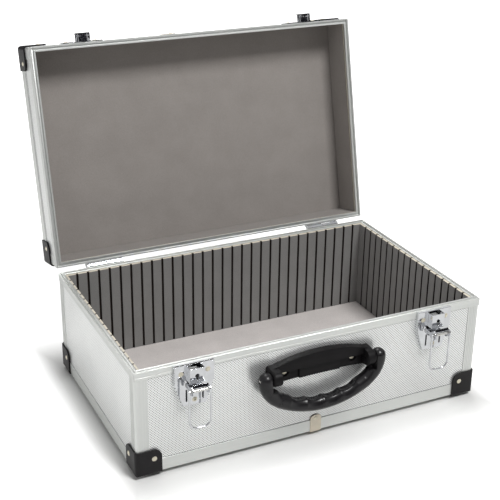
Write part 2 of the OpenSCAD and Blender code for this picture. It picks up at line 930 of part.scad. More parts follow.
// An open-topped pocket with a keyhole, held by two tabs through the pan
module lock_box() {
    out = plate_stand + box_stand;
    difference() {
        translate([-box_w / 2, plate_stand, box_foot]) cube([box_w, box_stand, box_h]);
        translate([box_wall - box_w / 2, plate_stand - 1, box_foot + box_wall])
            cube([box_w - 2 * box_wall, box_stand + 1 - box_wall, box_h]);
        outward(out - 2, out + 1) keyhole_outline();
    }
    at_box_tabs() tab(box_wall);
}

module lock_boxes() {
    color(CHROME) for (side = [-1, 1]) on_front(side * latch_x) lock_box();
}

// A bracket whose two lugs carry the lever's pin, held by two tabs through the pan
module lever_bracket() {
    w = 2 * lever_lug_x + sheet_t;
    difference() {
        union() {
            translate([-w / 2, plate_stand, lever_z - lever_lug_r])
                cube([w, sheet_t, 2 * lever_lug_r]);
            for (side = [-1, 1]) translate([side * lever_lug_x, 0, lever_z]) across(sheet_t) {
                translate([lever_out, 0]) circle(lever_lug_r);
                translate([plate_stand, -lever_lug_r])
                    square([lever_out - plate_stand, 2 * lever_lug_r]);
            }
            at_bracket_tabs() tab(sheet_t);
        }
        translate([0, lever_out, lever_z]) x_rod(lever_pin_d + 2 * hole_gap, w + 2);
    }
}

module lever_brackets() {
    color(CHROME) for (side = [-1, 1]) on_front(side * latch_x) lever_bracket();
}

module latch_plate_on(side) {
    color(CHROME) difference() {
        on_front(side * latch_x) latch_plate();
        at_latch_rivets(side) rivet_hole(plate_stand + skin);
    }
}

module left_latch_plate() {
    latch_plate_on(-1);
}

module right_latch_plate() {
    latch_plate_on(1);
}

module latch_plate_rivets() {
    for (side = [-1, 1]) {
        at_upper_latch_rivets(side) rivet(plate_stand + skin);
        at_latch_eyelet(side) rivet(plate_stand + skin, eyelet_bore);
    }
}

module lever_pins() {
    color(CHROME) for (side = [-1, 1]) on_front(side * latch_x)
        translate([0, lever_out, lever_z]) x_rod(lever_pin_d, 16.8);
}

// The lever's own frame: its pin at the origin, the shut lever hanging down, y out of the case
module lever() {
    difference() {
        union() {
            x_rod(5, 13.4);
            across(13.4) polygon([[0, 0], [2.5, 0], [2.5, -7], [1.3, -7], [1.3, -2]]);
            across(lever_w)
                polygon([[1.3, -5.6], [2.5, -5.6], [2.5, 1.2 - lever_len], [1.3, 1.2 - lever_len]]);
            across(lever_w - 2.4)
                polygon([[1.3, 1.3 - lever_len], [4.6, 1.3 - lever_len], [4.6, 0.3 - lever_len],
                    [1.3, 0.3 - lever_len]]);
            for (side = [-1, 1]) translate([side * (lever_w - ear_t) / 2, 0, 0]) across(ear_t) {
                polygon([[2.5, -3.5], [2.5, -bail_at], [-bail_in - 3.5, -bail_at], [-ear_depth, -8.6],
                    [-ear_depth, -6], [-ear_depth + 2.4, -3.5]]);
                translate([-bail_in, -bail_at]) circle(ear_r);
            }
        }
        x_rod(lever_pin_d + 2 * fit_gap, 30);
        translate([0, -bail_in, -bail_at]) x_rod(sleeve_d + 2 * fit_gap, 30);
    }
}

module lever_on(side) {
    color(CHROME) on_front(side * latch_x) translate([0, lever_out, lever_z])
        rotate([90 + lever_tilt, 0, 0]) lever();
}

module left_lever() {
    lever_on(-1);
}

module right_lever() {
    lever_on(1);
}

module at_bail(side) {
    on_front(side * latch_x) translate([0, bail_rest_out, bail_rest_z]) children();
}

// The sleeve turns in the lever's ears and carries the bail's two ends
module bail_sleeve(side) {
    color(NICKEL) at_bail(side) difference() {
        x_rod(sleeve_d, bail_w - wire_d - 0.6);
        x_rod(wire_d + 2 * fit_gap, bail_w);
    }
}

module left_bail_sleeve() {
    bail_sleeve(-1);
}

module right_bail_sleeve() {
    bail_sleeve(1);
}

// A bent wire loop that hangs from its two inturned ends
module bail(side) {
    x = bail_w / 2;
    color(CHROME) at_bail(side) {
        for (m = [0, 1]) mirror([m, 0, 0]) {
            translate([x, 0, bail_r - bail_len]) cylinder(d = wire_d, h = bail_len - bail_r);
            translate([x, 0, 0]) sphere(d = wire_d);
            translate([3, 0, 0]) rotate([0, 90, 0]) cylinder(d = wire_d, h = x - 3);
            translate([x - bail_r, 0, bail_r - bail_len]) rotate([90, 0, 0]) rotate([0, 0, -90])
                rotate_extrude(angle = 90) translate([bail_r, 0]) circle(d = wire_d);
        }
        translate([0, 0, -bail_len]) x_rod(wire_d, bail_w - 2 * bail_r);
    }
}

module left_bail() {
    bail(-1);
}

module right_bail() {
    bail(1);
}

// A slide inside the lock box, whose nose enters the notch of the strike's tongue
module lock_bolt(side) {
    color(NICKEL) on_front(side * latch_x) {
        translate([-7.4, plate_stand + 0.3, box_foot + 2]) cube([10.4, 2.3, nose_z + 2 - box_foot - 2]);
        translate([-7.4, plate_stand + 0.3, nose_z]) cube([2.1, 5, 2]);
    }
}

module left_lock_bolt() {
    lock_bolt(-1);
}

module right_lock_bolt() {
    lock_bolt(1);
}

// The seat that a fastened bail pulls on, following the inside of its bends
module seat_outline(inset) {
    r = bail_r - wire_d / 2 - 0.1 - inset;
    intersection() {
        union() {
            for (side = [-1, 1]) translate([side * (bail_w / 2 - bail_r), hook_z - bail_r]) circle(r);
            translate([bail_r - bail_w / 2, base_h]) square([bail_w - 2 * bail_r, hook_z - bail_r + r - base_h]);
        }
        translate([inset - 9.4, base_h + 0.9 - inset]) square([18.8 - 2 * inset, 20]);
    }
}

module strike(side) {
    low = base_h + 0.9;
    mid = base_h + fit_gap + rim_leg + 0.2;
    top = base_h + strike_h;
    x = strike_w / 2;
    color(CHROME) open_lid() difference() {
        on_front(side * latch_x) {
            translate([-x, 0, low]) cube([strike_w, sheet_t, top - low]);
            translate([-x, -rail_t, mid]) cube([strike_w, rail_t + 0.1, top - mid]);
            outward(0.5, hook_out + 2.6) difference() {
                seat_outline(0);
                seat_outline(sheet_t);
            }
            // hooked front
            outward(hook_out + 1.4, hook_out + 2.6) {
                translate([-9.4, low]) square([18.8, hook_z - low]);
                translate([-6.4, low]) square([12.8, hook_z + 3 - low]);
                for (s = [-1, 1]) translate([s * 6.4, hook_z]) circle(3);
            }
            // tongue with a notch for the bolt's nose
            outward(tongue_out - 0.6, tongue_out + 0.6) difference() {
                translate([-tongue_x, tongue_foot]) square([2 * tongue_x, base_h + 4.5 - tongue_foot]);
                translate([-tongue_x - 1, nose_z - 0.4]) square([4, 2.8]);
            }
        }
        at_strike_rivets(side) rivet_hole(sheet_t + rail_t);
    }
}

module left_strike() {
    strike(-1);
}

module right_strike() {
    strike(1);
}

module strike_rivets() {
    open_lid() for (side = [-1, 1]) at_strike_rivets(side) rivet(sheet_t + skin);
}

// Handle

// Everything above a height and under an arc that spans the two lugs
module arch_outline(foot, inset) {
    r = (lug_x * lug_x + arch_rise * arch_rise) / (2 * arch_rise);
    intersection() {
        translate([0, arch_foot_z + arch_rise - r]) circle(r - inset, $fn = 360);
        translate([-lug_x, foot]) square([2 * lug_x, lug_x]);
    }
}

// The bracket's front view, its foot arched between the lugs
module bracket_outline() {
    r = (lug_x * lug_x + foot_rise * foot_rise) / (2 * foot_rise);
    difference() {
        arch_outline(bracket_foot_z, 0);
        translate([0, bracket_foot_z + foot_rise - r]) circle(r, $fn = 1440);
    }
}

// A strap from the bracket's floor to a round nose about the pivot
module lug_outline(below = 12, above = 4) {
    r = lug_r - 0.02;
    root = pivot_out + rail_t;
    translate([pivot_out, pivot_z]) {
        circle(lug_r);
        polygon([[-root, -r / cos(below) - root * tan(below)], [r * sin(below), -r * cos(below)], [0, 0],
            [r * sin(above), r * cos(above)], [-root, r / cos(above) + root * tan(above)]]);
    }
}

module handle_bracket() {
    color(BLACK) difference() {
        on_front() {
            outward(-rail_t, bracket_t - rail_t) bracket_outline();
            outward(0, middle_t) intersection() {
                bracket_outline();
                translate([-middle_w / 2, bracket_foot_z - 1]) square([middle_w, lug_x]);
            }
            // raised edge
            outward(0, edge_out) difference() {
                arch_outline(arch_foot_z - edge_w - 1, 0);
                arch_outline(0, edge_w);
            }
            for (side = [-1, 1]) translate([side * (lug_x - lug_w / 2), 0, 0]) across(lug_w)
                lug_outline();
        }
        on_front() translate([0, pivot_out, pivot_z]) x_rod(pivot_pin_d + 2 * hole_gap, 2 * lug_x + 2);
        at_bracket_rivets() {
            rivet_hole(bracket_t + board_t);
            y_rod(recess_d, 0, bracket_t);
        }
    }
}

module bracket_rivets() {
    at_bracket_rivets() rivet(bracket_t - recess + board_t);
}

module handle_pins() {
    from = lug_x - lug_w + 1;
    to = grip_w / 2 - 1;
    color(NICKEL) on_front() for (side = [-1, 1])
        translate([side * (from + to) / 2, pivot_out, pivot_z]) x_rod(pivot_pin_d, to - from);
}

// A round bar bent about the Y axis, from one angle on by another, counted from +X
module bent_bar(d, r, from, turn) {
    rotate([90, 0, 0]) rotate([0, 0, from]) rotate_extrude(angle = turn, $fn = 96)
        translate([r, 0]) circle(d = d);
}

module handle_grip() {
    inner = hold_r - grip_d / 2;
    hollow_r = (finger_w * finger_w / 4 + finger_depth * finger_depth) / (2 * finger_depth);
    color(BLACK) on_front() translate([0, pivot_out, pivot_z]) difference() {
        union() {
            translate([0, 0, hold_up]) bent_bar(grip_d, hold_r, -90 - hold_turn, 2 * hold_turn);
            for (side = [0, 1]) mirror([side, 0, 0]) {
                // the arm begins a little way inside the handhold
                translate([bend_x, 0, 0]) bent_bar(arm_d, grip_bend, hold_turn - 94, 94 - hold_turn);
                translate([eye_x, 0, 0]) sphere(d = arm_d);
            }
        }
        // room for the lugs
        x_rod(2 * eye_room, 2 * lug_x + 1);
        for (i = [-1.5:1:1.5]) translate([0, 0, hold_up]) rotate([0, i * finger_w / inner * 180 / PI, 0])
            translate([0, 0, hollow_r - finger_depth - inner]) y_rod(2 * hollow_r, -grip_d, grip_d);
        x_rod(pivot_pin_d + 2 * fit_gap, grip_w + 2);
    }
}

// The assembly
base_front_panel();
base_back_panel();
base_left_panel();
base_right_panel();
base_bottom_panel();
base_corner_rails();
base_bottom_rails();
base_rim_rails();
base_corner_caps();
base_cap_rivets();
base_feet();
base_rail_clip();
base_clip_rivet();
liner_front();
liner_back();
liner_left();
liner_right();
floor_felt();
left_latch_plate();
right_latch_plate();
latch_plate_rivets();
lock_boxes();
lever_brackets();
lever_pins();
handle_bracket();
bracket_rivets();
handle_pins();
base_hinge_leaves();
hinge_pins();
base_hinge_rivets();
handle_grip();
left_lever();
right_lever();
left_bail_sleeve();
right_bail_sleeve();
left_bail();
right_bail();
left_lock_bolt();
right_lock_bolt();
lid_top_panel();
lid_front_panel();
lid_back_panel();
lid_left_panel();
lid_right_panel();
lid_corner_rails();
lid_top_rails();
lid_rim_rails();
lid_corner_caps();
lid_cap_rivets();
lid_rail_clip();
lid_clip_rivet();
lid_top_lining();
lid_wall_linings();
left_strike();
right_strike();
strike_rivets();
lid_hinge_leaves();
lid_hinge_rivets();
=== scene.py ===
import bpy
import json
import math
from mathutils import Matrix, Vector


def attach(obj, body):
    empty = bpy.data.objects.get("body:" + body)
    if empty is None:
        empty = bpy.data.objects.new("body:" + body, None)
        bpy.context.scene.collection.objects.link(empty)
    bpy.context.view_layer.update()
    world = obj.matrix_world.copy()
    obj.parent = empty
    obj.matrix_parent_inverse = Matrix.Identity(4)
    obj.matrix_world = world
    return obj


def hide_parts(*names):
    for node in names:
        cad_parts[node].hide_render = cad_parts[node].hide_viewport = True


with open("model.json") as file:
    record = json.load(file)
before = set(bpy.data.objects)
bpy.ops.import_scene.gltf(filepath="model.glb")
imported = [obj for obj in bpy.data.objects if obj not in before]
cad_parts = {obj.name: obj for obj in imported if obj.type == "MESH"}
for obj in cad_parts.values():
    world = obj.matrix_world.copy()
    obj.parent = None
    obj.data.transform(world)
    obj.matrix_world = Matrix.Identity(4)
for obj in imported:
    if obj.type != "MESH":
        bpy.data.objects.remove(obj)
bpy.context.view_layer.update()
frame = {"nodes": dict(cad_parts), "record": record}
print("frame loaded:", len(frame["nodes"]), "nodes")

# The colour sockets of a Mix node, by number
mixSockets = {"first": 6, "second": 7, "out": 2}


# Shader maths: a socket that can be added, multiplied and compared like a number
class Sock:
    def __init__(self, tree, socket):
        self.tree = tree
        self.socket = socket

    def node(self, kind, settings=None, inputs=None, output=0):
        made = self.tree.nodes.new(kind)
        for name, value in (settings or {}).items():
            setattr(made, name, value)
        for key, value in (inputs or {}).items():
            if isinstance(value, Sock):
                self.tree.links.new(value.socket, made.inputs[key])
            else:
                made.inputs[key].default_value = value
        return Sock(self.tree, made.outputs[output])

    def maths(self, operation, first, second=None):
        values = {i: v for i, v in enumerate((first, second)) if v is not None}
        return self.node("ShaderNodeMath", {"operation": operation}, values)

    def __add__(self, other):
        return self.maths("ADD", self, other)

    def __radd__(self, other):
        return self.maths("ADD", other, self)

    def __sub__(self, other):
        return self.maths("SUBTRACT", self, other)

    def __rsub__(self, other):
        return self.maths("SUBTRACT", other, self)

    def __mul__(self, other):
        return self.maths("MULTIPLY", self, other)

    def __rmul__(self, other):
        return self.maths("MULTIPLY", other, self)

    def __truediv__(self, other):
        return self.maths("DIVIDE", self, other)

    def __lt__(self, other):
        return self.maths("LESS_THAN", self, other)

    def __gt__(self, other):
        return self.maths("GREATER_THAN", self, other)

    def least(self, other):
        return self.maths("MINIMUM", self, other)

    def most(self, other):
        return self.maths("MAXIMUM", self, other)

    def absolute(self):
        return self.maths("ABSOLUTE", self)

    def fraction(self):
        return self.maths("FRACT", self)

    def ramp(self, low, high, first=0.0, last=1.0):
        # goes smoothly from first to last while this socket goes from low to high
        return self.node("ShaderNodeMapRange", {"clamp": True, "interpolation_type": "SMOOTHSTEP"},
                         {"Value": self, "From Min": low, "From Max": high, "To Min": first, "To Max": last})

    def axes(self):
        split = self.node("ShaderNodeSeparateXYZ", {}, {0: self})
        return [Sock(self.tree, output) for output in split.socket.node.outputs]

    def turned(self, angles):
        return self.node("ShaderNodeMapping", {}, {"Vector": self, "Rotation": angles})

    def stretched(self, scale):
        return self.node("ShaderNodeMapping", {}, {"Vector": self, "Scale": scale})

    def noise(self, scale, detail=3.0):
        return self.node("ShaderNodeTexNoise", {}, {"Vector": self, "Scale": scale, "Detail": detail})

    def mix(self, first, second):
        # first where this socket is 0, second where it is 1
        colours = [c if isinstance(c, Sock) else (*c, 1.0) for c in (first, second)]
        return self.node("ShaderNodeMix", {"data_type": "RGBA"},
                         {"Factor": self, mixSockets["first"]: colours[0], mixSockets["second"]: colours[1]},
                         mixSockets["out"])

    def bumped(self, height, distance, strength=1.0):
        return self.node("ShaderNodeBump", {}, {"Height": height, "Distance": distance, "Strength": strength})


def newMaterial(name, fixed):
    # a Principled material with its plain numbers and colours set on the shader's own sockets
    material = bpy.data.materials.new(name)
    material.use_nodes = True
    tree = material.node_tree
    shader = tree.nodes["Principled BSDF"]
    for socket, value in fixed.items():
        shader.inputs[socket].default_value = value
    place = Sock(tree, tree.nodes.new("ShaderNodeTexCoord").outputs["Object"])
    return material, shader, place


def feed(shader, **links):
    # links values that change over the surface to the shader's sockets
    for name, value in links.items():
        shader.id_data.links.new(value.socket, shader.inputs[name.replace("_", " ")])


def scaledColour(colour, amount):
    return [part * amount for part in colour]


# The lid stands open by this turn, and its patterns are laid out as if it were shut
lidTurn = (math.radians(103), 0, 0)

# Silver skin with rows of small staggered lozenges pressed into it, and a thin dark line beside the edges of
# the rails that lie on it: their narrow gap, with painted shadow of the rail edges
skinLook = {"pitch": 0.0032, "row": 0.00311, "dotEdge": (0.24, 0.36), "pressed": 0.00025,
            "field": (0.89, 0.90, 0.89), "dot": (0.11, 0.115, 0.13), "cloud": 18.0, "cloudEdge": (0.35, 0.65),
            "clouded": 0.96, "metallic": 0.7, "fieldRough": 0.28, "dotRough": 0.25,
            "railShadowEdge": (0.00036, 0.00084), "railShadowDarkness": 0.35,
            "trayRailShadowHeights": (0.0208, 0.1235), "lidRailShadowHeights": (0.1426, 0.1721)}


def boardSkin(name, across, up, lid=False, depth=1.0):
    # across and up are the numbers of the axes that the rows follow: 0 is X, 1 is Y and 2 is Z
    look = skinLook
    material, shader, place = newMaterial(name, {"Metallic": look["metallic"]})
    if lid:
        place = place.turned(lidTurn)
    axes = place.axes()
    u, v = axes[across] / look["pitch"], axes[up] / look["row"]
    diagonalA = ((u + v).fraction() - 0.5).absolute()
    diagonalB = ((u - v).fraction() - 0.5).absolute()
    dot = diagonalA.ramp(*look["dotEdge"]) * diagonalB.ramp(*look["dotEdge"])
    clouds = place.noise(look["cloud"]).ramp(*look["cloudEdge"])
    skin = (dot * depth).mix(clouds.mix(look["field"], scaledColour(look["field"], look["clouded"])), look["dot"])
    if up == 2:
        foot, rim = [(axes[up] - height).absolute() for height in look["lidRailShadowHeights" if lid else "trayRailShadowHeights"]]
        # painted shadow of the rails' edges, in a thin line beside each edge
        railShadow = foot.least(rim).ramp(*look["railShadowEdge"], 1.0, 0.0)
        skin = railShadow.mix(skin, scaledColour(look["dot"], look["railShadowDarkness"]))
    feed(shader, Base_Color=skin, Normal=place.bumped(1 - dot, look["pressed"] * depth),
         Roughness=look["fieldRough"] + dot * look["dotRough"])
    return material


# Extruded rails with a satin face and faint lines along the extrusion
railLook = {"metallic": 0.75, "fine": 900.0, "long": 6.0, "cloud": 9.0, "lineShare": 0.4,
            "toneEdge": (0.3, 0.7), "dull": (0.64, 0.655, 0.64), "bright": (0.71, 0.72, 0.70), "rough": 0.30,
            "lineRough": 0.14, "lineDepth": 0.00004, "lineStrength": 0.4}


def railMetal(name, along, lid=False):
    look = railLook
    material, shader, place = newMaterial(name, {"Metallic": look["metallic"]})
    if lid:
        place = place.turned(lidTurn)
    scale = [look["fine"]] * 3
    scale[along] = look["long"]
    lines = place.stretched(scale).noise(1.0, detail=2.0)
    tone = look["lineShare"] * lines + (1 - look["lineShare"]) * place.noise(look["cloud"])
    feed(shader, Base_Color=tone.ramp(*look["toneEdge"]).mix(look["dull"], look["bright"]),
         Roughness=look["rough"] + look["lineRough"] * lines,
         Normal=place.bumped(lines, look["lineDepth"], look["lineStrength"]))
    return material


# Black moulded plastic with a fine grain
plasticLook = {"grain": 2600.0, "cloud": 55.0, "toneEdge": (0.3, 0.7), "lighter": 1.3, "cloudRough": 0.12,
               "grainRough": 0.06, "grainDepth": 0.00005, "grainStrength": 0.5}


def mouldedPlastic(name, colour, roughness, gloss):
    look = plasticLook
    material, shader, place = newMaterial(name, {"Specular IOR Level": gloss})
    grain = place.noise(look["grain"], detail=2.0)
    cloud = place.noise(look["cloud"])
    feed(shader, Base_Color=cloud.ramp(*look["toneEdge"]).mix(colour, scaledColour(colour, look["lighter"])),
         Roughness=roughness + look["cloudRough"] * (cloud - 0.5) + look["grainRough"] * grain,
         Normal=place.bumped(grain, look["grainDepth"], look["grainStrength"]))
    return material


# Plated steel, a little uneven from the press and lightly scuffed
steelLook = {"cloud": 70.0, "toneEdge": (0.35, 0.65), "darker": 0.9, "scuff": (300.0, 300.0, 900.0),
             "scuffEdge": (0.45, 0.75), "scuffRough": 0.08, "dentDepth": 0.00012, "dentStrength": 0.35}


def platedSteel(name, colour, roughness, metallic=1.0):
    look = steelLook
    material, shader, place = newMaterial(name, {"Metallic": metallic})
    cloud = place.noise(look["cloud"])
    scuff = place.stretched(look["scuff"]).noise(1.0, detail=4.0)
    feed(shader, Base_Color=cloud.ramp(*look["toneEdge"]).mix(colour, scaledColour(colour, look["darker"])),
         Roughness=roughness + look["scuffRough"] * scuff.ramp(*look["scuffEdge"]),
         Normal=place.bumped(cloud, look["dentDepth"], look["dentStrength"]))
    return material


# Short-napped cloth on the liners and the lid, with the pale core of the board at its cut edges
clothLook = {"nap": 1500.0, "blotch": 30.0, "blotchShare": 0.3, "toneEdge": (0.3, 0.7), "darker": 0.88,
             # the near-black slot colour is painted shade for deep slots and joints
             "lighter": 1.12, "napStrength": 0.6, "core": (0.66, 0.61, 0.51), "slot": (0.016, 0.010, 0.008),
             "trayTop": 0.1316, "lidFoot": 0.1131, "joint": 0.00035,
             "surface": {"Roughness": 0.95, "Specular IOR Level": 0.12, "Sheen Weight": 0.15,
                         "Sheen Roughness": 0.5}}


def nappedCloth(name, colour, napDepth=0.0002, cut=None, slots=None):
    # cut names the part whose cut edges show, and slots says where a slotted face lies
    look = clothLook
    material, shader, place = newMaterial(name, look["surface"])
    nap = place.noise(look["nap"], detail=2.0)
    blotch = place.noise(look["blotch"], detail=4.0)
    tone = (look["blotchShare"] * blotch + (1 - look["blotchShare"]) * nap).ramp(*look["toneEdge"])
    cloth = tone.mix(scaledColour(colour, look["darker"]), scaledColour(colour, look["lighter"]))
    if slots:
        # deeper than the face, the slots' walls and floors are painted near black: painted shade down the
        # narrow slots, over the dark wall behind the strips
        axis, face = slots
        cloth = (place.axes()[axis].absolute() > face).mix(cloth, look["slot"])
    if cut == "tray":
        cloth = (place.axes()[2] > look["trayTop"]).mix(cloth, look["core"])
    if cut == "lid":
        # the pale edge at the foot of the lid's walls, and painted shade in a thin line for the joint behind
        # it
        height = place.turned(lidTurn).axes()[2] - look["lidFoot"]
        joint = (height - look["joint"]).absolute() < look["joint"]
        cloth = joint.mix((height < 0.0).mix(cloth, look["core"]), look["slot"])
    feed(shader, Base_Color=cloth, Normal=place.bumped(nap, napDepth, look["napStrength"]))
    return material


linerGrey, liningGrey = (0.215, 0.211, 0.205), (0.275, 0.253, 0.237)
linerFaces = {"long": (1, 0.1277), "end": (0, 0.2112)}      # axis, and the slotted face's place along it

finishes = {
    "front": boardSkin("boardFront", across=0, up=2),
    "side": boardSkin("boardSide", across=1, up=2, depth=0.35),
    "flat": boardSkin("boardFlat", across=0, up=1),
    "lidFront": boardSkin("lidFrontSkin", across=0, up=2, lid=True),
    "lidSide": boardSkin("lidSideSkin", across=1, up=2, lid=True, depth=0.35),
    "lidFlat": boardSkin("lidTopSkin", across=0, up=1, lid=True),
    "rail": railMetal("railMetal", along=0),
    "post": railMetal("postMetal", along=2),
    "lidRail": railMetal("lidRailMetal", along=0, lid=True),
    "lidPost": railMetal("lidPostMetal", along=2, lid=True),
    "cap": mouldedPlastic("capPlastic", (0.010, 0.009, 0.010), roughness=0.36, gloss=0.2),
    "bracket": mouldedPlastic("bracketPlastic", (0.007, 0.0065, 0.007), roughness=0.40, gloss=0.12),
    "grip": mouldedPlastic("gripPlastic", (0.0065, 0.006, 0.007), roughness=0.26, gloss=0.36),
    "foot": mouldedPlastic("footRubber", (0.008, 0.008, 0.008), roughness=0.7, gloss=0.2),
    "chrome": platedSteel("latchChrome", (0.67, 0.68, 0.70), roughness=0.07),
    "rivet": platedSteel("rivetSteel", (0.74, 0.69, 0.56), roughness=0.34, metallic=0.55),
    "clip": platedSteel("clipSteel", (0.66, 0.60, 0.50), roughness=0.32),
    "pin": platedSteel("pinSteel", (0.74, 0.73, 0.70), roughness=0.2),
    "liner": nappedCloth("longLinerCloth", linerGrey, cut="tray", slots=linerFaces["long"]),
    "endLiner": nappedCloth("endLinerCloth", linerGrey, cut="tray", slots=linerFaces["end"]),
    "felt": nappedCloth("floorFelt", (0.62, 0.58, 0.56), napDepth=0.0003),
    "lining": nappedCloth("lidCloth", liningGrey),
    "wallLining": nappedCloth("lidWallCloth", liningGrey, cut="lid"),
}

# The first word that a node's name holds gives its finish, and chrome is the rest
finishWords = (("caps", "cap"), ("rivet", "rivet"), ("grip", "grip"), ("handle_bracket", "bracket"),
               ("feet", "foot"), ("clip", "clip"), ("bolt", "pin"), ("sleeve", "pin"), ("pins", "pin"),
               ("liner_left", "endLiner"), ("liner_right", "endLiner"), ("liner", "liner"), ("felt", "felt"),
               ("wall_lining", "wallLining"), ("lining", "lining"))
boardFaces = {"top": "flat", "bottom": "flat", "front": "front", "back": "front",
              "left": "side", "right": "side"}


def finishOf(node):
    lid = node.startswith("lid_")
    if node.endswith("_panel"):
        face = boardFaces[node.split("_")[1]]
        return "lid" + face.capitalize() if lid else face
    if node.endswith("corner_rails"):
        return "lidPost" if lid else "post"
    if node.endswith("_rails"):
        return "lidRail" if lid else "rail"
    return next((finish for word, finish in finishWords if word in node), "chrome")


for name, thing in frame["nodes"].items():
    for holder in thing.material_slots:
        holder.material = finishes[finishOf(name)]
print("finishes set on the frame")


# New pieces that stand for a node: its shape merged, its flat faces made whole, its edges rounded
bodyOf = {node: body for body, nodes in frame["record"]["behaviour"]["bodies"].items() for node in nodes}
pieceSizes = {"merge": 0.000004, "flat": math.radians(0.4), "corner": math.radians(28),
              "shade": math.radians(38), "segments": 2}


def pieceFrom(name, node, flatten=True):
    bpy.ops.object.select_all(action="DESELECT")
    piece = bpy.data.objects.new(name, frame["nodes"][node].data.copy())
    bpy.context.scene.collection.objects.link(piece)
    piece.data.materials.clear()
    piece.data.materials.append(finishes[finishOf(node)])
    bpy.context.view_layer.objects.active = piece
    piece.select_set(True)
    bpy.ops.object.mode_set(mode="EDIT")
    bpy.ops.mesh.select_all(action="SELECT")
    bpy.ops.mesh.remove_doubles(threshold=pieceSizes["merge"])
    if flatten:
        bpy.ops.mesh.dissolve_limited(angle_limit=pieceSizes["flat"])
    bpy.ops.object.mode_set(mode="OBJECT")
    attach(piece, bodyOf[node])
    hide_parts(node)
    return piece


def finishModifier(piece, kind, settings):
    modifier = piece.modifiers.new(kind.lower(), kind)
    for setting, value in settings.items():
        setattr(modifier, setting, value)
    bpy.context.view_layer.objects.active = piece
    bpy.ops.object.modifier_apply(modifier=modifier.name)


def roundEdges(piece, radius):
    bpy.ops.object.shade_smooth_by_angle(angle=pieceSizes["shade"])
    finishModifier(piece, "BEVEL", {"width": radius, "segments": pieceSizes["segments"],
                                    "limit_method": "ANGLE", "angle_limit": pieceSizes["corner"],
                                    "use_clamp_overlap": True, "harden_normals": True,
                                    "offset_type": "OFFSET"})
    return piece


# The handle's bracket: the rims of its two end faces are rounded off further than its other edges
bracketSizes = {"end": 0.066, "board": -0.1358, "near": 0.0002, "pivot": (-0.1495, 0.0965), "bore": 0.004,
                "round": 0.0035, "segments": 6}


def onEndRim(ends):
    # an edge of an end face, apart from the one on the board and those of the pin's bore
    b = bracketSizes
    onEnd = all(abs(abs(end.x) - b["end"]) < b["near"] for end in ends)
    fromPin = max(math.hypot(end.y - b["pivot"][0], end.z - b["pivot"][1]) for end in ends)
    return onEnd and min(end.y for end in ends) < b["board"] and fromPin > b["bore"]


def roundEnds(bracket):
    bpy.context.tool_settings.mesh_select_mode = (False, True, False)
    for part in (bracket.data.polygons, bracket.data.vertices):
        part.foreach_set("select", [False] * len(part))
    for edge in bracket.data.edges:
        edge.select = onEndRim([bracket.data.vertices[i].co for i in edge.vertices])
    bpy.ops.object.mode_set(mode="EDIT")
    bpy.ops.mesh.bevel(offset=bracketSizes["round"], segments=bracketSizes["segments"], affect="EDGES",
                       clamp_overlap=False)
    bpy.ops.object.mode_set(mode="OBJECT")


# Hard pieces, with the radius of their edges in metres
hardPieces = {
    "base_corner_caps": ("trayCaps", 0.0006), "lid_corner_caps": ("lidCaps", 0.0006),
    "base_feet": ("feet", 0.0007), "handle_bracket": ("handleBase", 0.0006),
    "base_rim_rails": ("trayRim", 0.0002), "lid_rim_rails": ("lidRim", 0.0002),
    "base_bottom_rails": ("footRails", 0.00022), "lid_top_rails": ("lidEdgeRails", 0.00022),
    "left_latch_plate": ("leftLatchPan", 0.0004), "right_latch_plate": ("rightLatchPan", 0.0004),
    "lock_boxes": ("lockBoxes", 0.00035), "lever_brackets": ("leverBrackets", 0.0002),
    "left_lever": ("leftLever", 0.0002), "right_lever": ("rightLever", 0.0002),
    "left_strike": ("leftStrike", 0.0003), "right_strike": ("rightStrike", 0.0003),
    "base_rail_clip": ("trayClip", 0.0002), "lid_rail_clip": ("lidClip", 0.0002),
    "base_hinge_leaves": ("trayHinges", 0.0003), "lid_hinge_leaves": ("lidHinges", 0.0003),
}
for node, (pieceName, radius) in hardPieces.items():
    hardPiece = pieceFrom(pieceName, node)
    if node == "handle_bracket":
        roundEnds(hardPiece)
    roundEdges(hardPiece, radius)
print("hard pieces rounded:", len(hardPieces))

# The grip, moulded in one, with four finger hollows that reach round to its front
gripSizes = {"grain": 0.0007, "smooth": 0.5, "rounds": 7, "pivot": (-0.1495, 0.0965), "reach": 0.0388,
             "sag": 0.011, "drop": 0.044, "bar": 0.009, "finger": 0.0215, "count": 4, "depth": 0.0017,
             "fadeFrom": math.radians(118), "fadeOver": math.radians(50)}
# the handhold is an arc about a point that lies this far above the pivots
gripRise = (gripSizes["reach"] ** 2 - gripSizes["sag"] ** 2) / (2 * gripSizes["sag"])
gripRadius = gripSizes["drop"] + gripRise


def fingerHollow(point):
    # how far a point of the handhold sinks towards the bar's middle line
    g = gripSizes
    x, y, z = point.x, point.y - g["pivot"][0], point.z - g["pivot"][1] - gripRise
    out = math.hypot(x, z)
    along = math.atan2(x, -z) * (gripRadius - g["bar"]) / g["finger"]
    if abs(along) > g["count"] / 2:
        return Vector((0, 0, 0))
    wave = 1 - (2 * (along % 1.0) - 1) ** 2
    inward = gripRadius - out
    roundBar = math.atan2(abs(y), inward)
    # full on the fingers' side of the bar, fading smoothly to nothing round its far side
    weight = max(0.0, min(1.0, (g["fadeFrom"] - roundBar) / g["fadeOver"]))
    toMiddle = Vector((x / out * inward, -y, z / out * inward))
    return toMiddle.normalized() * (wave * weight * weight * (3 - 2 * weight) * g["depth"])


grip = pieceFrom("grip", "handle_grip", flatten=False)
grip.data.remesh_voxel_size = gripSizes["grain"]
bpy.ops.object.voxel_remesh()
finishModifier(grip, "SMOOTH", {"factor": gripSizes["smooth"], "iterations": gripSizes["rounds"]})
for corner in grip.data.vertices:
    corner.co += fingerHollow(corner.co)
bpy.ops.object.shade_smooth()
print("grip moulded:", len(grip.data.polygons), "faces")

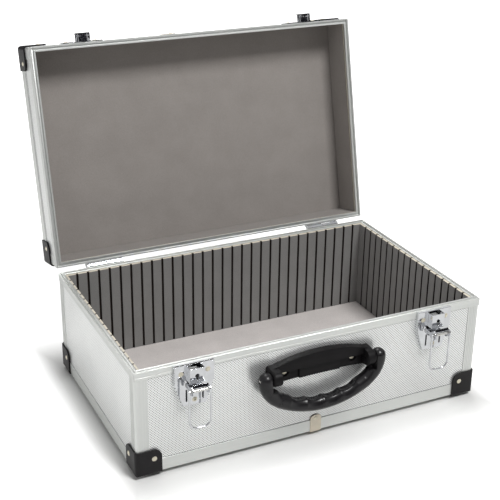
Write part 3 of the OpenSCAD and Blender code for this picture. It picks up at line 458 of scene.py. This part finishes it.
# Slotted liners, the lid's linings and the tray's felt: edge radius in metres, and how full the pad is
softPieces = {
    "liner_front": ("frontLiner", 0.0004, 1.0), "liner_back": ("backLiner", 0.0004, 1.0),
    "liner_left": ("leftLiner", 0.0004, 1.0), "liner_right": ("rightLiner", 0.0004, 1.0),
    "lid_wall_linings": ("lidWallCloth", 0.0006, 0.9), "lid_top_lining": ("lidTopCloth", 0.0006, 0.9),
    "floor_felt": ("trayFelt", 0.0005, 0.9),
}
for node, (pieceName, radius, fill) in softPieces.items():
    roundEdges(pieceFrom(pieceName, node), radius)
print("liners and linings made:", len(softPieces))


# Floor, light and camera
lamps = [("topSoft", (0.58, -1.80, 2.95), (0.0, 0.1, 0.2), 0.9, 90.0),      # place, target, size, watts
         ("leftSoft", (-2.6, 0.30, 0.5), (0.0, 0.0, 0.1), 1.2, 27.0),
         ("backSoft", (0.2, 1.30, 2.6), (0.0, 0.0, 0.1), 1.3, 30.0)]
cards = [("frontCard", (0, -3.2, 0.8), 0), ("leftCard", (-3.2, 0, 0.8), 90),      # place, turn about Z
         ("rightCard", (3.2, 0, 0.8), 90), ("backCard", (0, 3.2, 0.8), 0)]
cardLook = {"size": (5.0, 1.2), "colour": (0.02, 0.02, 0.025, 1)}
skyLook = {"ambient": 0.22, "mirrored": 0.62}
floorLook = {"size": 30.0, "paper": (0.78, 0.78, 0.77, 1), "halfWidth": 0.22, "halfDepth": 0.137,
             "sideFade": 2.5, "nearGlow": 0.6, "near": (0.004, 0.09), "far": (0.3, 1.6)}


def addLamp(name, place, target, size, power):
    bpy.ops.object.light_add(type="AREA", location=place)
    lamp = bpy.context.object
    lamp.name = name
    lamp.data.size = size
    lamp.data.energy = power
    lamp.rotation_euler = (Vector(target) - Vector(place)).to_track_quat("-Z", "Y").to_euler()


def rayKind(tree, kind):
    return Sock(tree, tree.nodes.new("ShaderNodeLightPath").outputs[kind])


def addCard(name, place, turn):
    # a dark upright card that only reflections see
    bpy.ops.object.select_all(action="DESELECT")
    bpy.ops.mesh.primitive_plane_add(size=1.0, location=place,
                                     rotation=(math.radians(90), 0, math.radians(turn)))
    card = bpy.context.object
    card.name = name
    card.scale = (*cardLook["size"], 1)
    card.data.materials.append(cardPaper)
    for ray in ("camera", "diffuse", "shadow", "transmission"):
        setattr(card, "visible_" + ray, False)


for lampFacts in lamps:
    addLamp(*lampFacts)
cardPaper = newMaterial("darkCard", {"Base Color": cardLook["colour"], "Roughness": 1.0,
                                     "Specular IOR Level": 0.0})[0]
for cardFacts in cards:
    addCard(*cardFacts)

bpy.ops.object.select_all(action="DESELECT")
bpy.ops.mesh.primitive_plane_add(size=floorLook["size"], location=(0, 0, 0))
floor = bpy.context.object
floor.name = "studioFloor"
floorPaper, floorShader, floorPlace = newMaterial("studioPaper", {
    "Base Color": floorLook["paper"], "Roughness": 0.9, "Specular IOR Level": 0.1, "Emission Strength": 1.0})
# the paper glows for the camera away from the case, painted light that whitens the shadows there, and keeps
# the shadow close round it
floorX, floorY, _ = floorPlace.axes()
away = ((floorX.absolute() - floorLook["halfWidth"]) * floorLook["sideFade"]).most(
    floorY.absolute() - floorLook["halfDepth"])
glow = away.ramp(*floorLook["near"], 0.0, floorLook["nearGlow"]).most(away.ramp(*floorLook["far"]))
seenGlow = rayKind(floorPaper.node_tree, "Is Camera Ray") * glow
feed(floorShader, Emission_Color=seenGlow.mix((0, 0, 0), (1, 1, 1)))
floor.data.materials.append(floorPaper)

# White behind the case, brighter in reflections than as light on the case
world = bpy.data.worlds.new("studioWorld")
bpy.context.scene.world = world
world.use_nodes = True
worldTree = world.node_tree
for old in list(worldTree.nodes):
    worldTree.nodes.remove(old)
seen, mirrored = rayKind(worldTree, "Is Camera Ray"), rayKind(worldTree, "Is Glossy Ray")
strength = seen.most(skyLook["ambient"] + mirrored * (skyLook["mirrored"] - skyLook["ambient"]))
sky = seen.node("ShaderNodeBackground", {}, {"Color": (1, 1, 1, 1), "Strength": strength})
worldTree.links.new(sky.socket, worldTree.nodes.new("ShaderNodeOutputWorld").inputs[0])

# The photograph's viewpoint: a place, two turns, a roll and the focal length in pixels of a 500-pixel frame
viewpoint = {"place": (-0.5396, -1.0710, 0.7054), "heading": math.radians(25.82),
             "down": math.radians(23.652), "roll": math.radians(0.776), "focal": 1085.5, "frame": 500.0,
             "sensor": 36.0, "clip": (0.01, 100.0)}


def addCamera(v):
    ahead = math.cos(v["down"])
    forward = Vector((math.sin(v["heading"]) * ahead, math.cos(v["heading"]) * ahead, -math.sin(v["down"])))
    level = forward.cross(Vector((0, 0, 1))).normalized()
    upward = level.cross(forward)
    right = math.cos(v["roll"]) * level + math.sin(v["roll"]) * upward
    top = -math.sin(v["roll"]) * level + math.cos(v["roll"]) * upward
    data = bpy.data.cameras.new("photoCamera")
    data.sensor_width = v["sensor"]
    data.lens = v["sensor"] * v["focal"] / v["frame"]
    data.clip_start, data.clip_end = v["clip"]
    camera = bpy.data.objects.new("photoCamera", data)
    bpy.context.scene.collection.objects.link(camera)
    turn = Matrix((right, top, -forward)).transposed().to_4x4()
    camera.matrix_world = Matrix.Translation(v["place"]) @ turn
    bpy.context.scene.camera = camera


addCamera(viewpoint)
bpy.context.scene.view_settings.view_transform = "Standard"
print("studio and camera set")
